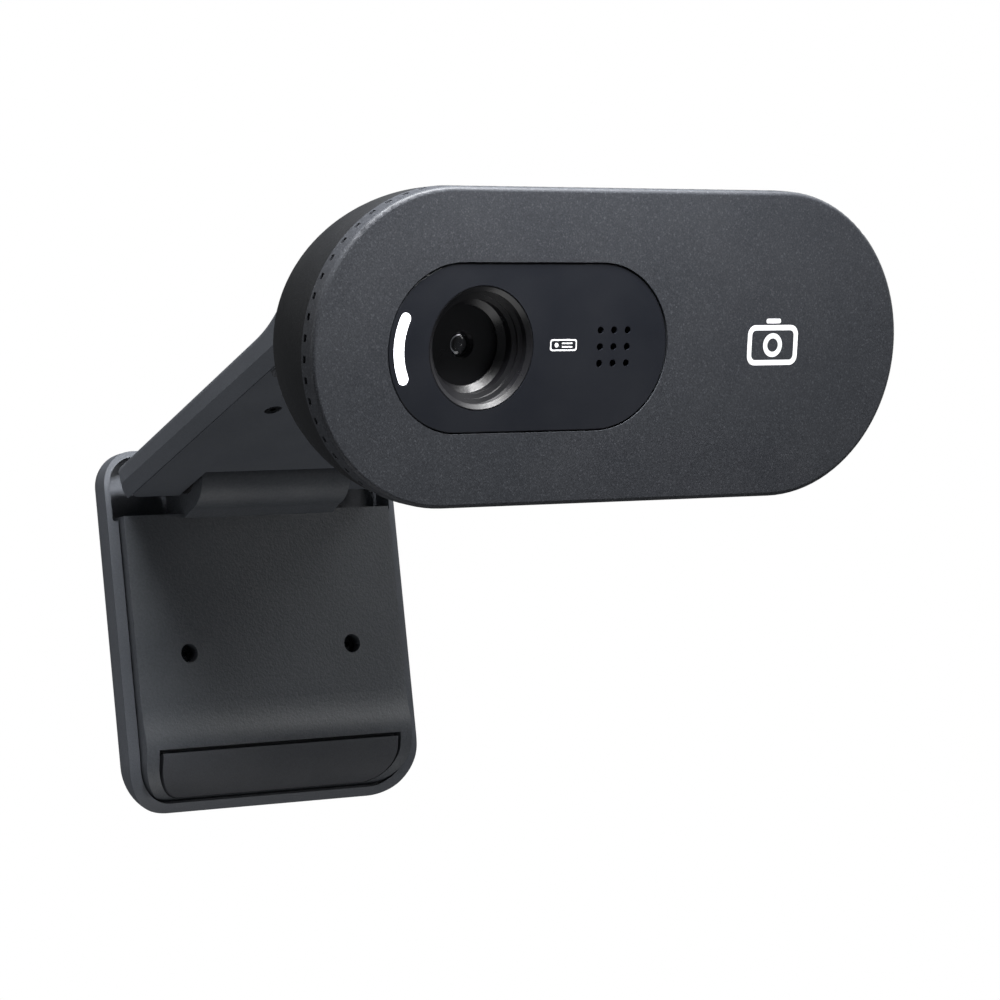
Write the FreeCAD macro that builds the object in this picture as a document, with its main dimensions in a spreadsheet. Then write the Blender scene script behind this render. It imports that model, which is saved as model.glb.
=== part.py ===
"""Webcam on a folding monitor clip: a camera head, a clip arm and a hinged foot.

Row frame, in millimetres: the origin is the centre of the arm's grip pad where it rests on a
monitor's top edge, +Z is up, -Y is the way the camera looks out and +X is its left-to-right.
Head pieces are drawn in the head's own frame (origin at the centre of the face, y into the
head) and foot pieces in the foot's (origin on its hinge axis, z up along the foot).
"""

import FreeCAD, Part
import math
import os
import Sketcher

os.makedirs("parts", exist_ok=True)
doc = FreeCAD.newDocument("webcam")
sheet = doc.addObject("Spreadsheet::Sheet", "Sizes")

DRIVING = {
    # camera head
    "face_width": 72.9, "face_height": 31.9, "head_depth": 19.0, "bezel_depth": 2.0,
    "bezel_edge_round": 0.45, "shell_side_curve": 24.5, "curve_start": 0.5, "shell_wall": 1.6,
    "back_edge_round": 1.5, "spigot_depth": 1.4, "spigot_wall": 1.0, "notch_pitch": 2.05,
    "notch_radius": 0.36, "notch_start": 1.2, "notch_end": 1.65,
    # inset panel with the lens, the light and the microphone holes
    "inset_width": 33.9, "inset_height": 17.0, "inset_x": -10.8, "inset_sink": 0.1,
    "inset_edge_bevel": 0.18, "inset_flange": 0.8, "inset_flange_depth": 0.9,
    "lens_x": -16.7, "lens_recess_radius": 6.25, "lens_recess_depth": 3.65, "lens_step": 0.45,
    "funnel_floor_wall": 0.3, "funnel_cone": 0.55, "funnel_wall": 1.0, "funnel_ledge": 0.15,
    "funnel_ring": 0.3, "funnel_mouth": 0.35, "funnel_back": 0.9,
    "lens_glass_radius": 1.15, "lens_crown": 0.3, "barrel_radius": 3.5, "barrel_wall": 0.9,
    "barrel_room": 1.4,
    "mic_hole_radius": 0.38, "mic_pitch": 1.68, "mic_x": -0.6, "mic_hole_count": 3,
    "light_length_deg": 49.0, "light_width": 1.25, "light_inset": 0.7,
    # inside the head
    "board_width": 52.0, "board_height": 18.0, "board_thickness": 1.0, "board_corner": 4.0,
    "board_back_room": 2.95, "board_screw_inset_x": 3.0, "board_screw_inset_z": 2.2,
    "board_screw_reach": 4.0, "post_radius": 1.9,
    "sensor_size": 6.0, "sensor_thickness": 0.8, "sensor_margin": 0.5, "sensor_gap": 0.1,
    "filter_thickness": 0.3, "holder_size": 10.0, "holder_collar": 0.8,
    "chip_x": 6.0, "chip_size": 7.0, "chip_thickness": 0.9,
    "connector_x": 16.5, "connector_width": 3.2, "connector_height": 8.0,
    "connector_depth": 2.4, "mic_can_size": 3.8, "mic_can_height": 1.1,
    "gasket_wall": 1.0, "gasket_gap": 0.2, "guide_reach": 1.0,
    "led_gap": 0.2, "led_width": 1.4, "led_height": 2.8, "led_depth": 0.9,
    # cable outlet
    "gland_x": 21.0, "gland_radius": 3.3, "gland_bore_radius": 1.75, "gland_length": 5.0,
    "gland_lip": 0.8, "gland_flange": 0.9,
    # tilt joint between the head and the arm
    "head_tilt": 30.5, "tilt_axis_y": -15.88, "tilt_axis_z": 1.12, "tilt_axis_standoff": 4.5,
    "tilt_axis_height": 4.2, "knuckle_radius": 4.0, "neck_width": 18.0, "lug_width": 3.0,
    "lug_radius": 3.4, "tilt_pin_radius": 1.2, "washer_thickness": 0.3, "washer_gap": 0.05,
    "washer_inset": 0.3, "bracket_plate": 1.2, "bracket_side": 1.0, "bracket_drop": 2.0,
    # clip arm
    "arm_width": 36.6, "arm_thickness": 3.3, "arm_front_y": -4.3, "pad_thickness": 0.5,
    "arm_bevel": 1.25, "panel_thickness": 0.75, "arm_rise_start": 3.5, "arm_rise_radius": 18.0,
    "arm_slope": 0.3, "arm_top_round": 0.7, "arm_corner": 2.2, "lip_length": 4.0,
    "lip_thickness": 2.4, "lip_width": 30.0, "grip_length": 8.8, "grip_width": 33.2,
    "grip_front_gap": 0.15, "grip_corner": 0.6, "screw_hole_radius": 1.0, "arm_screw_x": 10.8,
    "arm_screw_y": 14.4, "arm_front_round": 1.0, "arm_boss_radius": 2.2, "arm_boss_roof": 1.0,
    "arm_hollow_roof": 1.2, "arm_hollow_wall": 1.0, "arm_rib": 4.0, "pilot_roof": 0.9,
    "panel_rear_gap": 0.5, "panel_corner": 1.2,
    # fold joint between the arm and the foot
    "foot_lean": 15.6, "fold_axis_y": 36.9, "fold_pin_radius": 0.75, "pin_cover": 0.08,
    "fold_barrel_radius": 3.9, "fold_barrel_width": 20.0, "ear_gap": 0.4, "ear_reach": 2.0,
    "notch_length": 5.2, "fold_pin_cover": 2.6, "bush_radius": 1.9, "bush_length": 2.95,
    "bush_proud": 0.1,
    # foot
    "foot_width": 38.9, "ear_side_gap": 0.45, "foot_top": 3.5, "foot_bottom": 38.5,
    "foot_back": 6.4,
    "foot_panel_plane": 1.05, "foot_rim_plane": 2.2, "foot_wall": 1.45, "foot_rim": 1.4,
    "foot_corner_top": 4.0, "foot_corner_bottom": 6.0, "foot_back_round": 2.6,
    "rim_nose_radius": 9.5, "rim_nose_start": 31.3, "foot_panel_top": 4.1,
    "panel_nose_radius": 7.0, "hump_radius": 14.0, "hump_turn": 12.0, "hump_start": 26.0,
    "foot_panel_wall": 1.3, "foot_pad_side_wall": 1.6, "foot_pad_top": 31.5,
    "foot_pad_sink": 1.5, "foot_pad_gap": 0.45, "foot_pad_proud": 0.12, "foot_pad_seat": 0.55,
    "foot_pad_corner": 3.6, "foot_hole_x": 11.0, "foot_hole_drop": 20.2,
    "foot_hole_radius": 1.1, "foot_screw_sink": 1.9, "foot_screw_reach": 2.2,
    "seat_lap": 0.6, "well_lap": 0.4, "web_lap": 0.5, "well_corner": 0.3,
    "foot_shelf": 0.9, "foot_boss_radius": 1.7, "foot_column_wall": 1.1, "foot_pilot": 0.6,
    # shared clearances and hardware
    "seam": 0.05, "slip": 0.15, "pin_clearance": 0.03, "screw_head_radius": 0.95,
    "screw_shank_radius": 0.6, "screw_head_height": 0.7, "drive_radius": 0.35,
    "thread_gap": 0.02, "shank_gap": 0.1, "overcut": 1.0,
}


class Size:
    """A number together with the sheet formula that gives it."""

    def __init__(self, value, text):
        self.value = value
        self.text = text

    def __add__(self, other):
        other = size_of(other)
        return Size(self.value + other.value, f"({self.text} + {other.text})")

    def __sub__(self, other):
        other = size_of(other)
        return Size(self.value - other.value, f"({self.text} - {other.text})")

    def __mul__(self, other):
        other = size_of(other)
        return Size(self.value * other.value, f"({self.text} * {other.text})")

    def __truediv__(self, other):
        other = size_of(other)
        return Size(self.value / other.value, f"({self.text} / {other.text})")

    def __neg__(self):
        return Size(-self.value, f"(-1 * {self.text})")

    def __radd__(self, other):
        return size_of(other) + self

    def __rsub__(self, other):
        return size_of(other) - self

    def __rmul__(self, other):
        return size_of(other) * self


def size_of(number):
    return number if isinstance(number, Size) else Size(float(number), f"{float(number):.6f}")


def root(size):
    return Size(math.sqrt(size.value), f"sqrt({size.text})")


def sine(angle):
    return Size(math.sin(math.radians(angle.value)), f"sin({angle.text} * 1 deg)")


def cosine(angle):
    return Size(math.cos(math.radians(angle.value)), f"cos({angle.text} * 1 deg)")


class Driving:
    """Reads a driving size as an attribute, such as S.face_width."""

    def __getattr__(self, name):
        return Size(DRIVING[name], f"Sizes.{name}")


S = Driving()
for row, (alias, number) in enumerate(DRIVING.items(), start=1):
    sheet.set(f"A{row}", alias)
    sheet.set(f"B{row}", str(number))
    sheet.setAlias(f"B{row}", alias)
doc.recompute()


# ---- drawing helpers -------------------------------------------------------------------------


def bind(thing, name, size):
    """Gives a property its value and ties it to the sheet."""
    size = size_of(size)
    setattr(thing, name, size.value)
    thing.setExpression(name, size.text)


def place(thing, y, z, angle):
    """Puts a piece in the row frame: shifted in y and z and turned about the x axis."""
    turn = FreeCAD.Rotation(FreeCAD.Vector(1, 0, 0), angle.value)
    thing.Placement = FreeCAD.Placement(FreeCAD.Vector(0, y.value, z.value), turn)
    thing.setExpression(".Placement.Base.y", y.text)
    thing.setExpression(".Placement.Base.z", z.text)
    thing.setExpression(".Placement.Rotation.Angle", angle.text)


HEAD_AXIS_DEPTH = S.head_depth + S.tilt_axis_standoff
TURN_COS = cosine(S.head_tilt)
TURN_SIN = sine(S.head_tilt)
HEAD_Y = S.tilt_axis_y - HEAD_AXIS_DEPTH * TURN_COS + S.tilt_axis_height * TURN_SIN
HEAD_Z = S.tilt_axis_z - HEAD_AXIS_DEPTH * TURN_SIN - S.tilt_axis_height * TURN_COS
UNDERSIDE = S.pad_thickness
FOLD_BORE = S.fold_pin_radius + S.pin_clearance
FOLD_AXIS_Z = UNDERSIDE + S.panel_thickness + S.pin_cover + FOLD_BORE
NODES = []


def new_body(label, group):
    body = doc.addObject("PartDesign::Body", label)
    body.Label = label
    if group == "head":
        place(body, HEAD_Y, HEAD_Z, S.head_tilt)
    if group == "foot":
        place(body, S.fold_axis_y, FOLD_AXIS_Z, S.foot_lean)
    NODES.append(body)
    return body


def new_sketch(body, name, role, offset=0):
    """A sketch on one of the body's own origin planes, moved along the plane's normal."""
    sketch = body.newObject("Sketcher::SketchObject", f"{body.Label}_{name}")
    plane = [item for item in body.Origin.OriginFeatures if item.Role == role][0]
    sketch.AttachmentSupport = [(plane, "")]
    sketch.MapMode = "FlatFace"
    offset = size_of(offset)
    if role == "XZ_Plane":
        offset = -offset
    sketch.AttachmentOffset = FreeCAD.Placement(
        FreeCAD.Vector(0, 0, offset.value), FreeCAD.Rotation())
    sketch.setExpression(".AttachmentOffset.Base.z", offset.text)
    return sketch


def pin_down(sketch, geometry, point, direction, size):
    """Fixes one coordinate of a point, measured from the sketch's origin."""
    size = size_of(size)
    if size.text == "0.000000":
        axis = -2 if direction == "DistanceX" else -1
        sketch.addConstraint(Sketcher.Constraint("PointOnObject", geometry, point, axis))
        return
    index = sketch.addConstraint(
        Sketcher.Constraint(direction, -1, 1, geometry, point, size.value))
    sketch.setExpression(f"Constraints[{index}]", size.text)


def vector(x, y):
    return FreeCAD.Vector(size_of(x).value, size_of(y).value, 0)


def draw_loop(sketch, steps):
    """Draws a closed outline and fixes every corner.

    Each step is (x, y), the end of a straight run, or (x, y, cx, cy, side), the end of an arc
    about (cx, cy) that runs counter-clockwise for side 1 and clockwise for side -1.
    """
    first = sketch.GeometryCount
    count = len(steps)
    ends = []
    for index, step in enumerate(steps):
        start = steps[index - 1]
        a = vector(start[0], start[1])
        b = vector(step[0], step[1])
        if len(step) == 2:
            number = sketch.addGeometry(Part.LineSegment(a, b), False)
            ends.append((number, 1, 2))
            continue
        centre = vector(step[2], step[3])
        circle = Part.Circle(centre, FreeCAD.Vector(0, 0, 1), (a - centre).Length)
        low, high = (a, b) if step[4] == 1 else (b, a)
        angle_low = math.atan2(low.y - centre.y, low.x - centre.x)
        angle_high = math.atan2(high.y - centre.y, high.x - centre.x)
        if angle_high <= angle_low:
            angle_high += 2 * math.pi
        number = sketch.addGeometry(Part.ArcOfCircle(circle, angle_low, angle_high), False)
        ends.append((number, 1, 2) if step[4] == 1 else (number, 2, 1))
    for index in range(count):
        here = ends[index]
        after = ends[(index + 1) % count]
        sketch.addConstraint(
            Sketcher.Constraint("Coincident", here[0], here[2], after[0], after[1]))
        pin_down(sketch, here[0], here[2], "DistanceX", steps[index][0])
        pin_down(sketch, here[0], here[2], "DistanceY", steps[index][1])
        if len(steps[index]) == 5:
            start = steps[index - 1]
            chord = vector(steps[index][0], steps[index][1]) - vector(start[0], start[1])
            if abs(chord.x) > abs(chord.y):
                pin_down(sketch, here[0], 3, "DistanceY", steps[index][3])
            else:
                pin_down(sketch, here[0], 3, "DistanceX", steps[index][2])
    return first


def draw_circle(sketch, x, y, radius):
    radius = size_of(radius)
    circle = Part.Circle(vector(x, y), FreeCAD.Vector(0, 0, 1), radius.value)
    number = sketch.addGeometry(circle, False)
    pin_down(sketch, number, 3, "DistanceX", x)
    pin_down(sketch, number, 3, "DistanceY", y)
    index = sketch.addConstraint(Sketcher.Constraint("Radius", number, radius.value))
    sketch.setExpression(f"Constraints[{index}]", radius.text)


def draw_all(sketch, outlines):
    """Outlines are loops (lists of steps) or circles (tuples of x, y and radius)."""
    for outline in outlines:
        if isinstance(outline, tuple):
            draw_circle(sketch, *outline)
        else:
            draw_loop(sketch, outline)


def stadium(width, height, x=0, y=0):
    """A rectangle with half-round ends."""
    radius = height / 2
    left = x - width / 2 + radius
    right = x + width / 2 - radius
    return [
        (right, y - radius),
        (right, y + radius, right, y, 1),
        (left, y + radius),
        (left, y - radius, left, y, 1),
    ]


def rectangle(x_low, x_high, y_low, y_high):
    return [(x_high, y_low), (x_high, y_high), (x_low, y_high), (x_low, y_low)]


def rounded(x_low, x_high, y_low, y_high, low_radius, high_radius):
    """A rectangle with one corner radius along its low side and another along its high side."""
    return [
        (x_high - low_radius, y_low),
        (x_high, y_low + low_radius, x_high - low_radius, y_low + low_radius, 1),
        (x_high, y_high - high_radius),
        (x_high - high_radius, y_high, x_high - high_radius, y_high - high_radius, 1),
        (x_low + high_radius, y_high),
        (x_low, y_high - high_radius, x_low + high_radius, y_high - high_radius, 1),
        (x_low, y_low + low_radius),
        (x_low + low_radius, y_low, x_low + low_radius, y_low + low_radius, 1),
    ]


def pad(body, name, role, outlines, low, high):
    """Adds material between two levels along the plane's axis."""
    sketch = new_sketch(body, f"{name}_sketch", role, low)
    draw_all(sketch, outlines)
    feature = body.newObject("PartDesign::Pad", f"{body.Label}_{name}")
    feature.Profile = sketch
    bind(feature, "Length", size_of(high) - size_of(low))
    feature.Reversed = role == "XZ_Plane"
    doc.recompute()
    return feature


def pocket(body, name, role, outlines, low, high):
    """Removes material between two levels along the plane's axis."""
    before = body.Shape.Volume
    sketch = new_sketch(body, f"{name}_sketch", role, low)
    draw_all(sketch, outlines)
    feature = body.newObject("PartDesign::Pocket", f"{body.Label}_{name}")
    feature.Profile = sketch
    bind(feature, "Length", size_of(high) - size_of(low))
    feature.Reversed = role != "XZ_Plane"
    doc.recompute()
    if body.Shape.Volume > before - 1e-4:
        raise RuntimeError(f"{feature.Label} removed nothing")
    return feature


def spin(body, name, role, outline, axis_shift, cut=False):
    """Turns an outline about a line along the row's y axis, shifted in x."""
    before = body.Shape.Volume if cut else 0
    sketch = new_sketch(body, f"{name}_sketch", role)
    draw_loop(sketch, outline)
    kind = "PartDesign::Groove" if cut else "PartDesign::Revolution"
    line = sketch.addGeometry(
        Part.LineSegment(vector(axis_shift, 0), vector(axis_shift, 1)), True)
    sketch.addConstraint(Sketcher.Constraint("Vertical", line))
    pin_down(sketch, line, 1, "DistanceX", axis_shift)
    pin_down(sketch, line, 1, "DistanceY", 0)
    pin_down(sketch, line, 2, "DistanceY", 1)
    feature = body.newObject(kind, f"{body.Label}_{name}")
    feature.Profile = sketch
    feature.ReferenceAxis = (sketch, ["Axis0"])
    feature.Angle = 360
    doc.recompute()
    if cut and body.Shape.Volume > before - 1e-4:
        raise RuntimeError(f"{feature.Label} removed nothing")
    return feature


def soften(body, name, chosen, size, kind="Fillet"):
    """Rounds or bevels the edges that a test picks."""
    tip = body.Tip
    names = [f"Edge{n}" for n, edge in enumerate(tip.Shape.Edges, start=1) if chosen(edge)]
    feature = body.newObject(f"PartDesign::{kind}", f"{body.Label}_{name}")
    feature.Base = (tip, names)
    bind(feature, "Radius" if kind == "Fillet" else "Size", size)
    doc.recompute()
    return feature


def on_level(axis, level, slack=1e-4):
    """A test for edges that lie at one level along an axis of the piece's own frame."""
    level = size_of(level).value

    def test(edge):
        values = [getattr(edge.valueAt(t), axis) for t in (edge.FirstParameter, edge.LastParameter)]
        middle = (edge.FirstParameter + edge.LastParameter) / 2
        values.append(getattr(edge.valueAt(middle), axis))
        return all(abs(value - level) < slack for value in values)

    return test


# ---- camera head -----------------------------------------------------------------------------

ZERO = size_of(0)
FACE_RADIUS = S.face_height / 2
FACE_CENTRE = S.face_width / 2 - FACE_RADIUS
INSET_GAP = S.seam * 2
PANEL_BACK = S.bezel_depth + S.inset_flange_depth
GUIDE_BACK = PANEL_BACK + S.guide_reach
BRACKET_BACK = S.head_depth - S.shell_wall - S.seam
BRACKET_FRONT = BRACKET_BACK - S.bracket_plate
BOARD_BACK = BRACKET_FRONT - S.board_back_room
BOARD_FRONT = BOARD_BACK - S.board_thickness
SENSOR_FRONT = BOARD_FRONT - S.sensor_thickness
LENS_BACK = S.lens_recess_depth + S.funnel_back + S.seam
BARREL_LENGTH = SENSOR_FRONT - S.barrel_room - LENS_BACK
HOLDER_FRONT = LENS_BACK + BARREL_LENGTH / 3
LUG_INNER = S.neck_width / 2 + S.washer_thickness + S.washer_gap * 2
LUG_OUTER = LUG_INNER + S.lug_width
LUG_BOTTOM = S.tilt_axis_height - S.lug_radius
LUG_TOP = S.tilt_axis_height + S.lug_radius * 0.6
TILT_BORE = S.tilt_pin_radius + S.pin_clearance
GLAND_NECK = S.gland_radius - S.gland_lip
BOARD_SCREW_X = S.board_width / 2 - S.board_screw_inset_x
BOARD_SCREW_Z = S.board_height / 2 - S.board_screw_inset_z


def shell_radius(depth, inset=0):
    """Half-height of the rear shell's outside, or of a skin inside it, at a depth."""
    curve = S.shell_side_curve - inset
    along = depth - S.curve_start
    return FACE_RADIUS - S.shell_side_curve + root(curve * curve - along * along)


def shell_profile(front, back, inset=0):
    """The two outlines of the shell's form: across the middle, and round each end."""
    wide = shell_radius(front, inset)
    narrow = shell_radius(back, inset)
    curve_y = S.curve_start
    curve_z = FACE_RADIUS - S.shell_side_curve
    slab = [
        (front, wide, curve_y, curve_z, 1),
        (front, -wide),
        (back, -narrow, curve_y, -curve_z, 1),
        (back, narrow),
    ]
    cap = [
        (FACE_CENTRE, front),
        (FACE_CENTRE + wide, front),
        (FACE_CENTRE + narrow, back, FACE_CENTRE + curve_z, curve_y, 1),
        (FACE_CENTRE, back),
    ]
    return slab, cap


def mirror_cap(cap):
    """The same end outline on the other side."""
    flipped = []
    for step in cap:
        if len(step) == 2:
            flipped.append((-step[0], step[1]))
        else:
            flipped.append((-step[0], step[1], -step[2], step[3], -1))
    return flipped


def shell_form(body, name, front, back, inset=0, cut=False):
    slab, cap = shell_profile(front, back, inset)
    act = pocket if cut else pad
    act(body, f"{name}_middle", "YZ_Plane", [slab], -FACE_CENTRE, FACE_CENTRE)
    spin(body, f"{name}_right", "XY_Plane", cap, FACE_CENTRE, cut)
    spin(body, f"{name}_left", "XY_Plane", mirror_cap(cap), -FACE_CENTRE, cut)


def front_bezel():
    body = new_body("front_bezel", "head")
    pad(body, "plate", "XZ_Plane", [stadium(S.face_width, S.face_height)], 0, S.bezel_depth)
    soften(body, "face_edge", on_level("y", 0), S.bezel_edge_round)
    rim = FACE_RADIUS - shell_radius(S.bezel_depth + S.spigot_depth, S.shell_wall) + S.seam
    outer = stadium(S.face_width - rim * 2, S.face_height - rim * 2)
    ring = rim + S.spigot_wall
    inner = stadium(S.face_width - ring * 2, S.face_height - ring * 2)
    pad(body, "spigot", "XZ_Plane", [outer, inner], S.bezel_depth,
        S.bezel_depth + S.spigot_depth)
    window = stadium(S.inset_width + INSET_GAP, S.inset_height + INSET_GAP, S.inset_x)
    pocket(body, "window", "XZ_Plane", [window], 0, S.bezel_depth)
    pocket(body, "notches", "XZ_Plane", notch_circles(), S.notch_start, S.notch_end)
    return body


def notch_circles():
    """Evenly spaced circles on the face's outline, each the plan of one notch."""
    straight = 2 * FACE_CENTRE.value
    around = math.pi * FACE_RADIUS.value
    along_count = round(straight / DRIVING["notch_pitch"])
    round_count = round(around / DRIVING["notch_pitch"])
    circles = []
    for side in (1, -1):
        for number in range(along_count):
            share = 2 * (number + 0.5) / along_count - 1
            circles.append((FACE_CENTRE * share, FACE_RADIUS * side, S.notch_radius))
        for number in range(round_count):
            angle = math.pi * ((number + 0.5) / round_count - 0.5)
            x = (FACE_CENTRE + FACE_RADIUS * math.cos(angle)) * side
            circles.append((x, FACE_RADIUS * math.sin(angle), S.notch_radius))
    return circles


def rear_shell():
    body = new_body("rear_shell", "head")
    shell_form(body, "form", S.bezel_depth, S.head_depth)
    soften(body, "back_edge", on_level("y", S.head_depth), S.back_edge_round)
    shell_form(body, "hollow", S.bezel_depth, S.head_depth - S.shell_wall, S.shell_wall, True)
    slots = [
        rectangle(side_low, side_high, LUG_BOTTOM - S.slip, LUG_TOP + S.slip)
        for side_low, side_high in LUG_SLOTS
    ]
    pocket(body, "lug_slots", "XZ_Plane", slots, S.head_depth - S.shell_wall * 3, S.head_depth)
    pocket(body, "gland_hole", "XZ_Plane", [(S.gland_x, ZERO, GLAND_NECK + S.seam)],
           S.head_depth - S.shell_wall * 3, S.head_depth)
    return body


LUG_SLOTS = [
    (LUG_INNER - S.slip, LUG_OUTER + S.slip),
    (-LUG_OUTER - S.slip, -LUG_INNER + S.slip),
]


def tilt_bracket():
    body = new_body("tilt_bracket", "head")
    half = LUG_OUTER + S.bracket_side
    plate = rectangle(-half, half, LUG_BOTTOM - S.bracket_drop, LUG_TOP)
    pad(body, "plate", "XZ_Plane", [plate], BRACKET_FRONT, BRACKET_BACK)
    reach = S.lug_radius * 0.8
    rise = S.lug_radius * 0.6
    lug = [
        (BRACKET_FRONT, LUG_BOTTOM),
        (HEAD_AXIS_DEPTH, LUG_BOTTOM),
        (HEAD_AXIS_DEPTH - reach, S.tilt_axis_height + rise, HEAD_AXIS_DEPTH,
         S.tilt_axis_height, 1),
        (BRACKET_FRONT, LUG_TOP),
    ]
    for side, low, high in (("right", LUG_INNER, LUG_OUTER), ("left", -LUG_OUTER, -LUG_INNER)):
        pad(body, f"{side}_lug", "YZ_Plane", [lug], low, high)
    bore = (HEAD_AXIS_DEPTH, S.tilt_axis_height, S.tilt_pin_radius)
    pocket(body, "pin_bore", "YZ_Plane", [bore], -half, half)
    return body


def tilt_pin():
    body = new_body("tilt_pin", "head")
    circle = (HEAD_AXIS_DEPTH, S.tilt_axis_height, S.tilt_pin_radius)
    pad(body, "rod", "YZ_Plane", [circle], -LUG_OUTER, LUG_OUTER)
    ends = [on_level("x", -LUG_OUTER), on_level("x", LUG_OUTER)]
    soften(body, "ends", lambda edge: any(test(edge) for test in ends),
           S.tilt_pin_radius * 0.2, "Chamfer")
    return body


def inset_panel():
    body = new_body("inset_panel", "head")
    front = S.inset_sink
    outline = stadium(S.inset_width, S.inset_height, S.inset_x)
    pad(body, "plate", "XZ_Plane", [outline], front, PANEL_BACK)
    soften(body, "edge", on_level("y", front), S.inset_edge_bevel, "Chamfer")
    flange = stadium(S.inset_width + S.inset_flange * 2, S.inset_height + S.inset_flange * 2,
                     S.inset_x)
    pad(body, "flange", "XZ_Plane", [flange], S.bezel_depth + S.seam, PANEL_BACK)
    pocket(body, "lens_hole", "XZ_Plane", [(S.lens_x, ZERO, S.lens_recess_radius)],
           front, PANEL_BACK)
    pocket(body, "light_slot", "XZ_Plane", [light_outline(0)], front, PANEL_BACK)
    holes = []
    middle = (S.mic_hole_count - 1) / 2
    for column in range(int(DRIVING["mic_hole_count"])):
        for line in range(int(DRIVING["mic_hole_count"])):
            x = S.mic_x + (column - middle) * S.mic_pitch
            z = (line - middle) * S.mic_pitch
            holes.append((x, z, S.mic_hole_radius))
    pocket(body, "mic_holes", "XZ_Plane", holes, front, PANEL_BACK)
    return body


def light_outline(gap):
    """A curved bar that follows the panel's left end, with round tips."""
    end_x = S.inset_x - S.inset_width / 2 + S.inset_height / 2
    outer = S.inset_height / 2 - S.light_inset - gap
    inner = S.inset_height / 2 - S.light_inset - S.light_width + gap
    middle = (outer + inner) / 2
    tip_cos = cosine(S.light_length_deg / 2)
    tip_sin = sine(S.light_length_deg / 2)
    tip_x = end_x - middle * tip_cos
    tip_z = middle * tip_sin
    return [
        (end_x - outer * tip_cos, -(outer * tip_sin), end_x, ZERO, 1),
        (end_x - inner * tip_cos, -(inner * tip_sin), tip_x, -tip_z, 1),
        (end_x - inner * tip_cos, inner * tip_sin, end_x, ZERO, -1),
        (end_x - outer * tip_cos, outer * tip_sin, tip_x, tip_z, 1),
    ]


def lens_surround():
    """The stepped black funnel between the panel and the lens."""
    body = new_body("lens_surround", "head")
    outer = S.lens_recess_radius - S.seam
    front = S.inset_sink + S.seam
    step = S.lens_step
    floor = S.lens_recess_depth
    centre = S.lens_x
    mouth = outer - S.seam * 2
    wall_one = mouth - step
    wall_two = wall_one - step
    wall_three = wall_two - step
    cone_end = wall_three - step * 1.5
    back = floor + S.funnel_back
    cone_front = floor - S.funnel_floor_wall
    wall_back = cone_front - S.funnel_cone
    wall_front = wall_back - S.funnel_wall
    ring_back = wall_front - S.funnel_ledge
    ring_front = ring_back - S.funnel_ring
    outline = [
        (centre + outer, front),
        (centre + outer, back),
        (centre + S.lens_glass_radius * 0.8, back),
        (centre + S.lens_glass_radius * 1.22, floor),
        (centre + cone_end, floor),
        (centre + cone_end, cone_front),
        (centre + wall_three, wall_back),
        (centre + wall_three, wall_front),
        (centre + wall_two, ring_back),
        (centre + wall_two, ring_front),
        (centre + wall_one, ring_front - S.funnel_ledge),
        (centre + wall_one, front + S.funnel_mouth),
        (centre + mouth, front),
    ]
    spin(body, "funnel", "XY_Plane", outline, centre)
    return body


def disc(label, group, x, z, radius, low, high):
    body = new_body(label, group)
    pad(body, "disc", "XZ_Plane", [(x, z, radius)], low, high)
    return body


def lens_front_glass():
    """A small meniscus that sits in the funnel's floor."""
    body = new_body("lens_front_glass", "head")
    radius = S.lens_glass_radius - S.seam
    centre = S.lens_x
    crown = S.lens_crown
    face = S.lens_recess_depth + crown * 0.4
    back = S.lens_recess_depth + crown * 2
    curve = (radius * radius + crown * crown) / (2 * crown)
    outline = [
        (centre, face, centre, face + curve, -1),
        (centre, back),
        (centre + radius * 0.7, back),
        (centre + radius, face + crown + S.seam),
        (centre + radius, face + crown),
    ]
    spin(body, "meniscus", "XY_Plane", outline, centre)
    return body


def lens_barrel():
    body = new_body("lens_barrel", "head")
    radius = S.barrel_radius
    centre = S.lens_x
    bore = radius - S.barrel_wall
    front = LENS_BACK
    back = front + BARREL_LENGTH
    outline = [
        (centre + S.lens_glass_radius, front),
        (centre + radius, front),
        (centre + radius, back),
        (centre + bore, back),
        (centre + bore, front + BARREL_LENGTH * 0.35),
        (centre + bore * 0.6, front + BARREL_LENGTH * 0.22),
    ]
    spin(body, "tube", "XY_Plane", outline, centre)
    return body


def lens_holder():
    body = new_body("lens_holder", "head")
    half = S.holder_size / 2
    bore = S.barrel_radius + S.seam
    collar = bore + S.holder_collar
    x = S.lens_x
    square = rectangle(x - half, x + half, -half, half)
    base_front = LENS_BACK + BARREL_LENGTH * 0.45
    pad(body, "base", "XZ_Plane", [square], base_front, BOARD_FRONT)
    pad(body, "collar", "XZ_Plane", [(x, ZERO, collar)], HOLDER_FRONT,
        base_front + BARREL_LENGTH * 0.1)
    pocket(body, "barrel_bore", "XZ_Plane", [(x, ZERO, bore)], HOLDER_FRONT,
           LENS_BACK + BARREL_LENGTH + S.sensor_gap)
    room = S.sensor_size / 2 + S.sensor_margin
    pocket(body, "sensor_room", "XZ_Plane", [rectangle(x - room, x + room, -room, room)],
           SENSOR_FRONT - S.filter_thickness - S.sensor_margin, BOARD_FRONT)
    return body


def block(label, x, z, wide, tall, low, high):
    """A rectangular piece in the head, given its middle and size."""
    body = new_body(label, "head")
    outline = rectangle(x - wide / 2, x + wide / 2, z - tall / 2, z + tall / 2)
    pad(body, "block", "XZ_Plane", [outline], low, high)
    return body


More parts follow.
